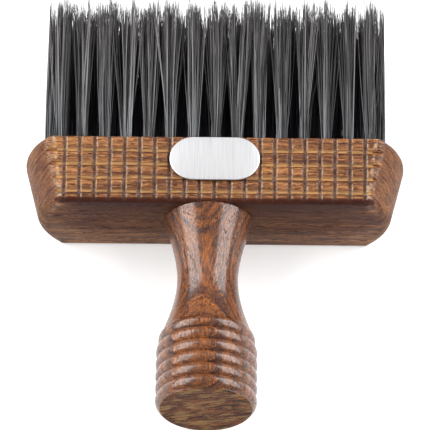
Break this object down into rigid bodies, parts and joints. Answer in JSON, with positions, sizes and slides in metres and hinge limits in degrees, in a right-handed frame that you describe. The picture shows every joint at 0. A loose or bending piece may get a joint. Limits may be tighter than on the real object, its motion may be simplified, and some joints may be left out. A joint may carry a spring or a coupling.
{
  "type": "neck duster brush",
  "caption": "Barber's neck duster: a grid-cut hardwood block drilled for staggered bristle tufts, with a turned ring-grip handle and a blank steel plate.",
  "frame": {"origin": "middle of the block's back face, which the brush lies on", "axes": "+X along the block, +Y from the handle to the bristle tips, +Z out of the front face with the plate"},
  "size_m": [0.131, 0.1506, 0.035],
  "materials": {
    "block_wood": "stained and lacquered hardwood",
    "handle_wood": "stained hardwood under gloss lacquer",
    "plate_steel": "brushed across its length",
    "pad_foam": "thin double-sided foam",
    "screw_steel": "plain rolled steel",
    "anchor_metal": "flat galvanised anchor wire",
    "bristle": "fine soft synthetic fibre with a low sheen"
  },
  "bodies": {
    "root": {"head_block": "block_wood", "handle": "handle_wood", "dowel_screw": "screw_steel", "name_plate": "plate_steel", "plate_pad": "pad_foam", "tuft_anchors": "anchor_metal", "tuft_column_01": "bristle", "tuft_column_02": "bristle", "tuft_column_03": "bristle", "tuft_column_04": "bristle", "tuft_column_05": "bristle", "tuft_column_06": "bristle", "tuft_column_07": "bristle", "tuft_column_08": "bristle", "tuft_column_09": "bristle", "tuft_column_10": "bristle", "tuft_column_11": "bristle", "tuft_column_12": "bristle", "tuft_column_13": "bristle", "tuft_column_14": "bristle", "tuft_column_15": "bristle", "tuft_column_16": "bristle", "tuft_column_17": "bristle", "tuft_column_18": "bristle", "tuft_column_19": "bristle", "tuft_column_20": "bristle", "tuft_column_21": "bristle", "tuft_column_22": "bristle", "tuft_column_23": "bristle", "tuft_column_24": "bristle", "tuft_column_25": "bristle", "tuft_column_26": "bristle", "tuft_column_27": "bristle", "tuft_column_28": "bristle", "tuft_column_29": "bristle", "tuft_column_30": "bristle", "tuft_column_31": "bristle"}
  },
  "joints": []
}
